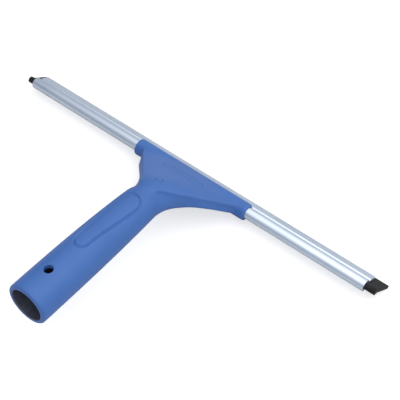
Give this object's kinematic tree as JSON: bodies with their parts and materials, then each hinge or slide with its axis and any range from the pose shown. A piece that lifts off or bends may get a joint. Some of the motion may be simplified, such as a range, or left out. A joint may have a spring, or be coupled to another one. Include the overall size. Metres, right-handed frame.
{
  "type": "window cleaning squeegee",
  "caption": "Hand squeegee with a hollow blue plastic handle, a straight aluminium blade channel and a black rubber strip.",
  "frame": {"origin": "under the middle of the whole squeegee, at the height of the rubber's lowest edge", "axes": "+X along the blade, +Y along the handle from its socket to the blade, +Z out of the handle's top face"},
  "size_m": [0.3196, 0.181, 0.0504],
  "materials": {
    "blue_plastic": "satin moulded",
    "aluminium": "satin anodised",
    "black_rubber": "matt"
  },
  "bodies": {
    "handle": {"handle": "blue_plastic"},
    "channel": {"channel": "aluminium"},
    "rubber": {"rubber": "black_rubber"}
  },
  "joints": [
    {"name": "channel_slide", "type": "slide", "parent": "handle", "child": "channel", "axis": [1, 0, 0], "range_m": [-0.199, 0.207]},
    {"name": "rubber_slide", "type": "slide", "parent": "channel", "child": "rubber", "axis": [1, 0, 0], "range_m": [-0.314, 0.312]}
  ]
}
